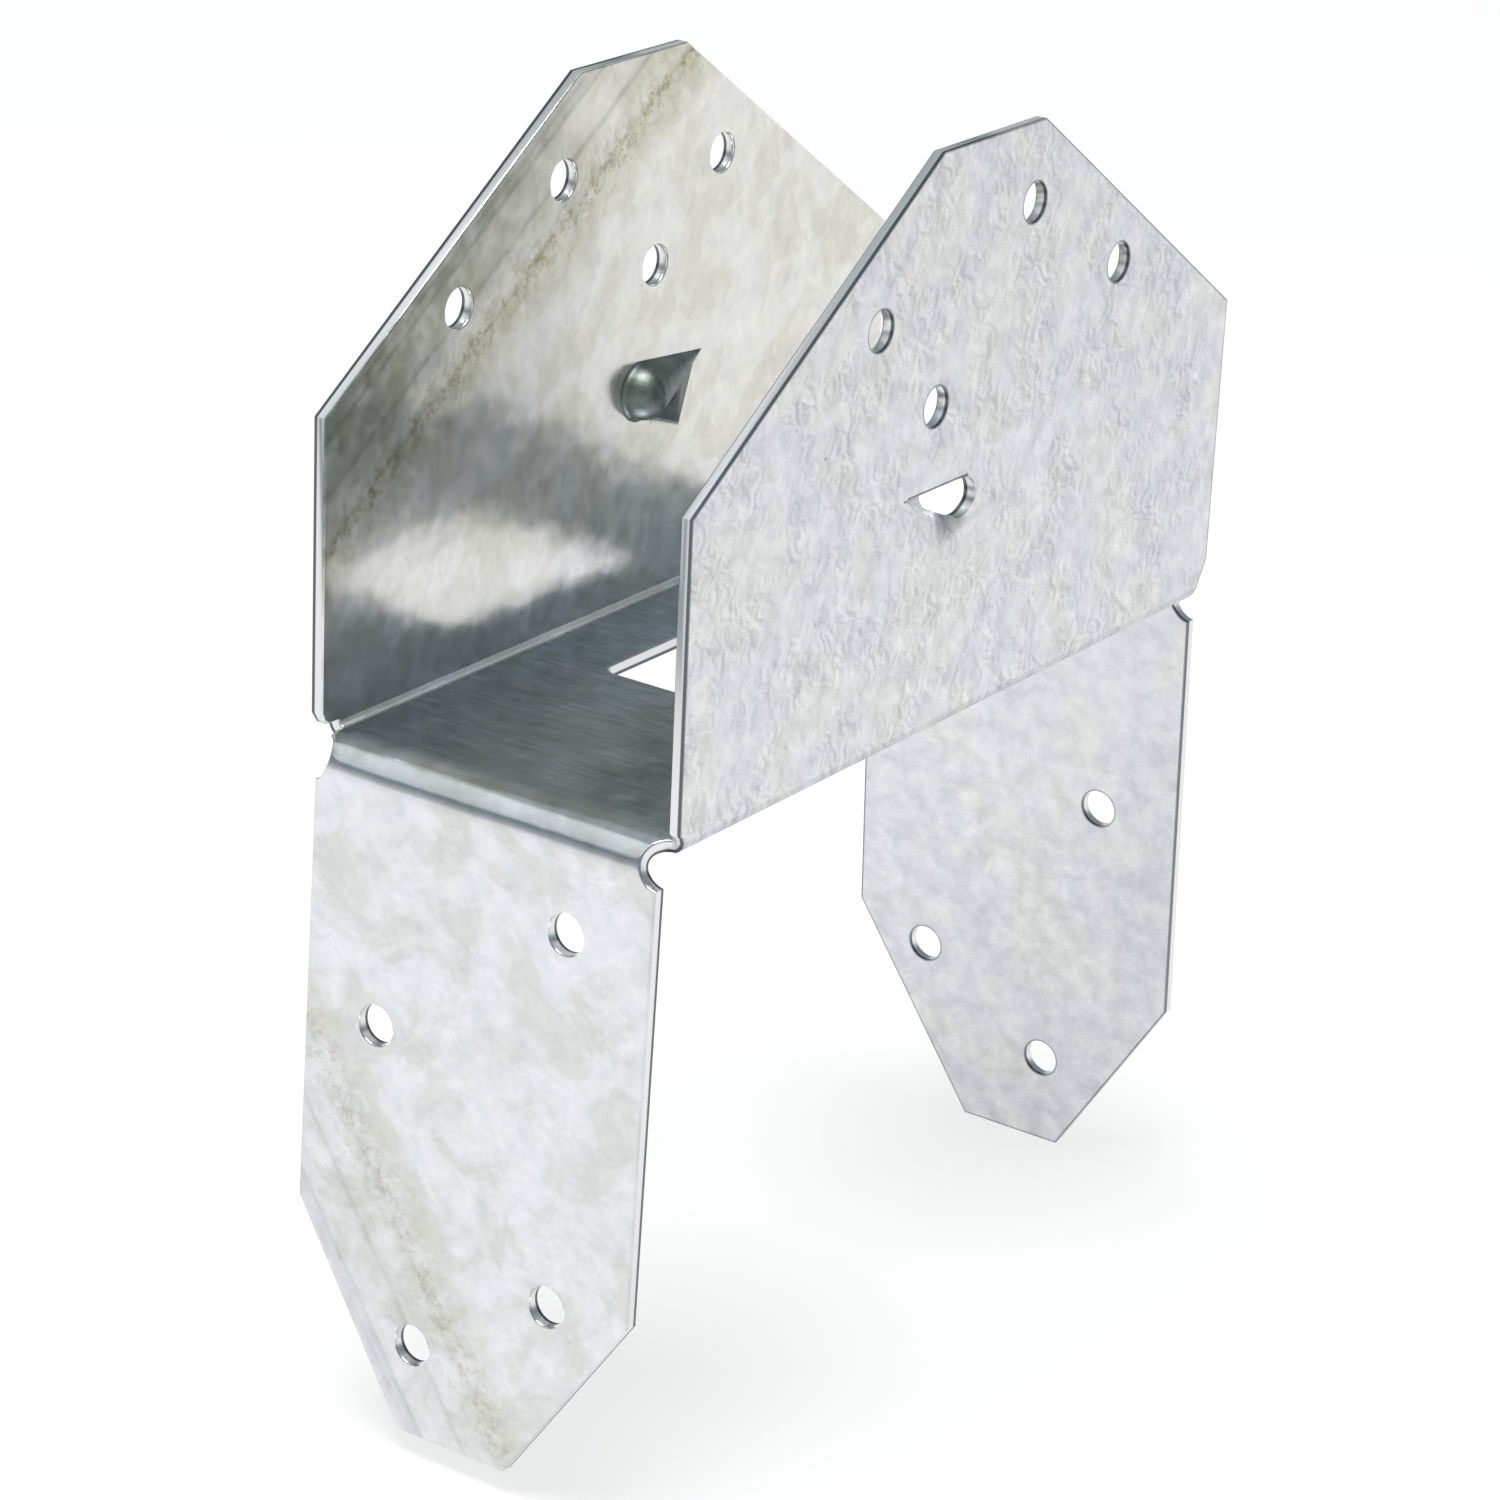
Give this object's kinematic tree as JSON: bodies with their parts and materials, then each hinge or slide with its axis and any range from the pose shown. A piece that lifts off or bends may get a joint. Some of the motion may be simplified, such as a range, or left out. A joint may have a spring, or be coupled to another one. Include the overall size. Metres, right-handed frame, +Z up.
{
  "type": "rafter tie",
  "caption": "Folded galvanised sheet tie: its seat holds a rafter between uprights while flanges fold down each side of a wall plate, with staggered nail holes.",
  "frame": {"origin": "middle of the seat's underside, which lies on the wall plate", "axes": "+X across the seat towards the near upright, +Y along the seat towards the rear plate flange, +Z up"},
  "size_m": [0.0424, 0.0985, 0.1248],
  "materials": {
    "galvanised_steel": "hot-dip galvanised, spangled and weathered"
  },
  "bodies": {
    "root": {"rafter_tie": "galvanised_steel"}
  },
  "joints": []
}
